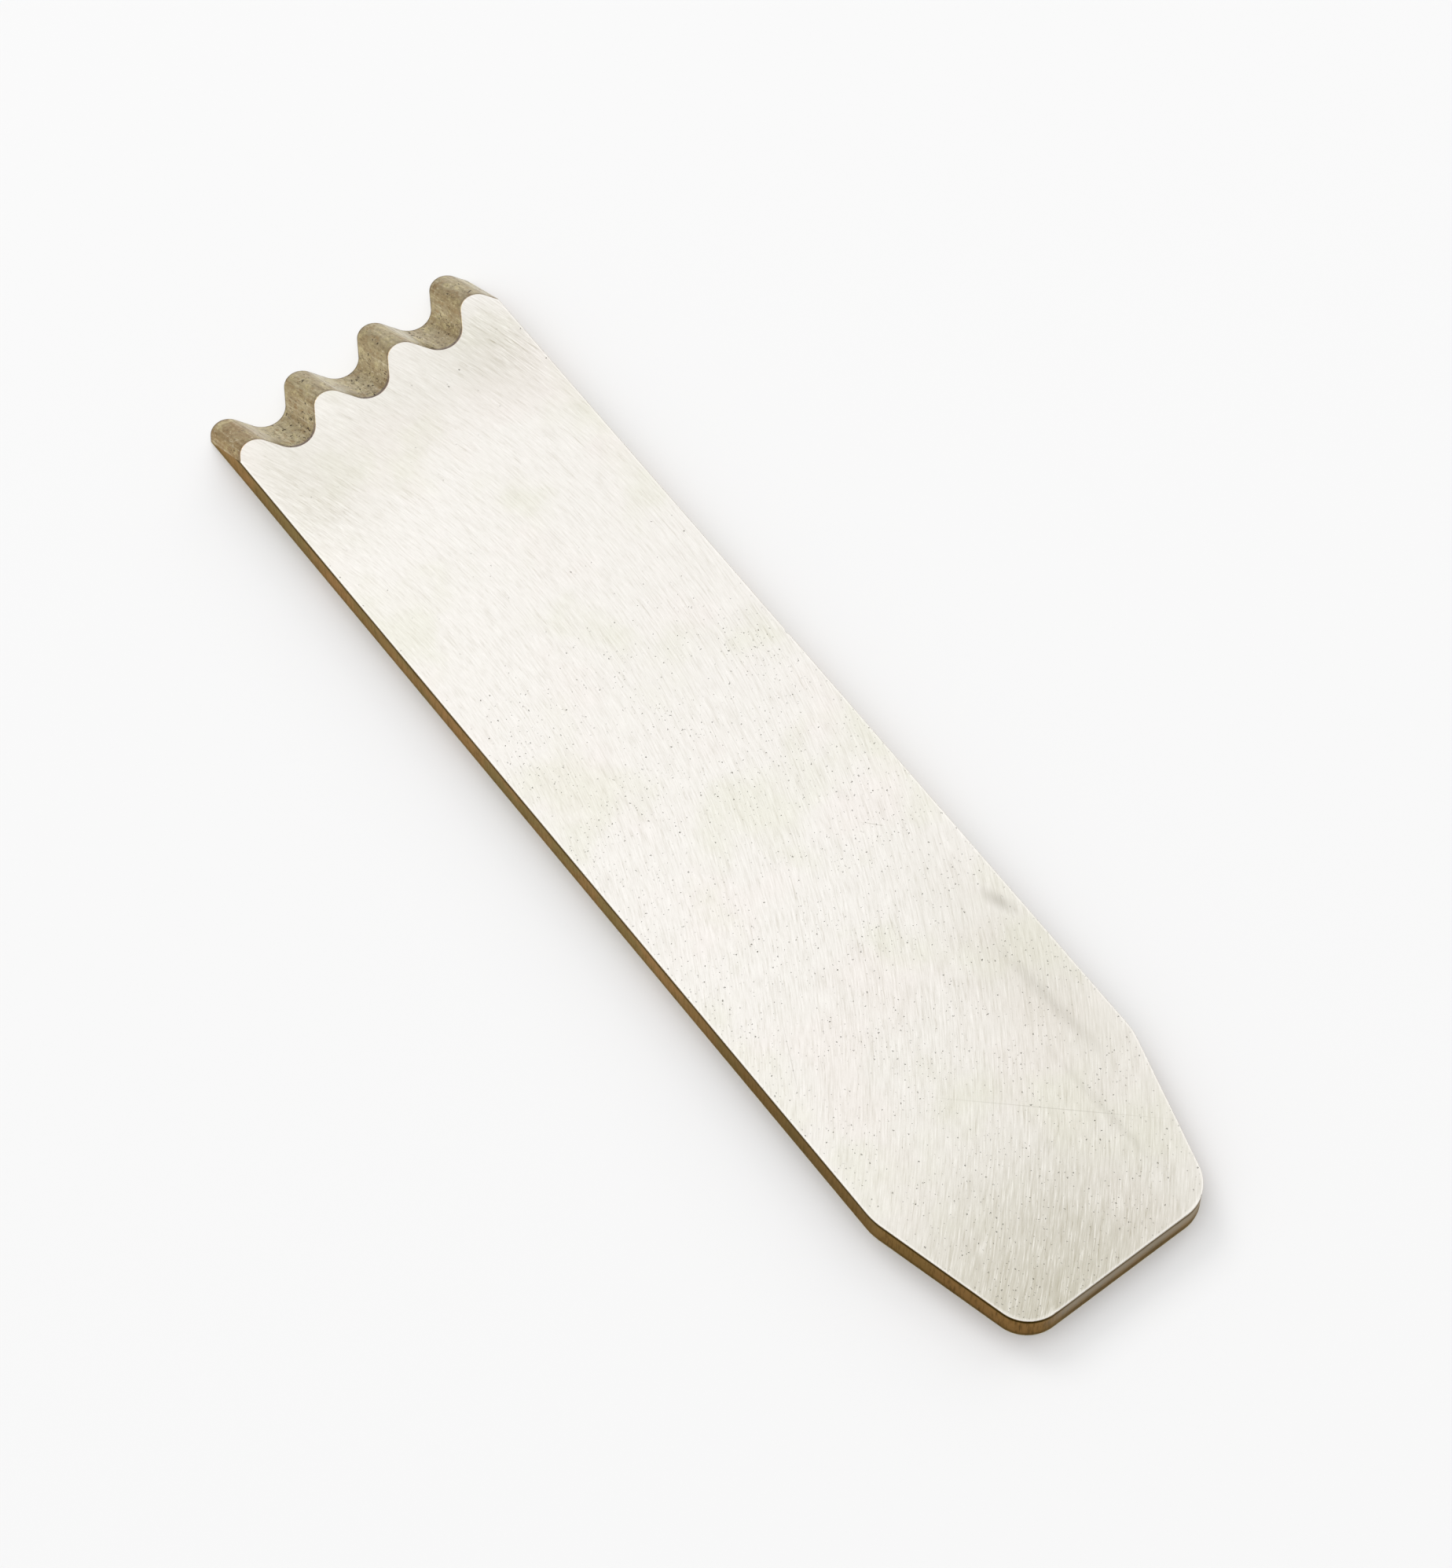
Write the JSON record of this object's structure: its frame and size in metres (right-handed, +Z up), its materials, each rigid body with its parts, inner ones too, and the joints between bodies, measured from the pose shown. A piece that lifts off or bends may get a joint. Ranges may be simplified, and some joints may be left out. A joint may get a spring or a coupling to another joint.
{
  "type": "clay modeling tool",
  "caption": "Flat ground-steel blade for combing clay: round teeth on a single bevel across one end, tapering to a blunt, round-cornered grip at the other.",
  "frame": {"origin": "middle of the blade's length and width, on its lower face", "axes": "+Y along the blade towards the teeth, +X across its width, +Z up through its thickness, with the bevel facing up"},
  "size_m": [0.0254, 0.1016, 0.0032],
  "materials": {
    "ground_steel": "ground faces with fine curved grinding lines, darker tan-brown ground edges and bevel"
  },
  "bodies": {
    "root": {"toothed_blade": "ground_steel"}
  },
  "joints": []
}
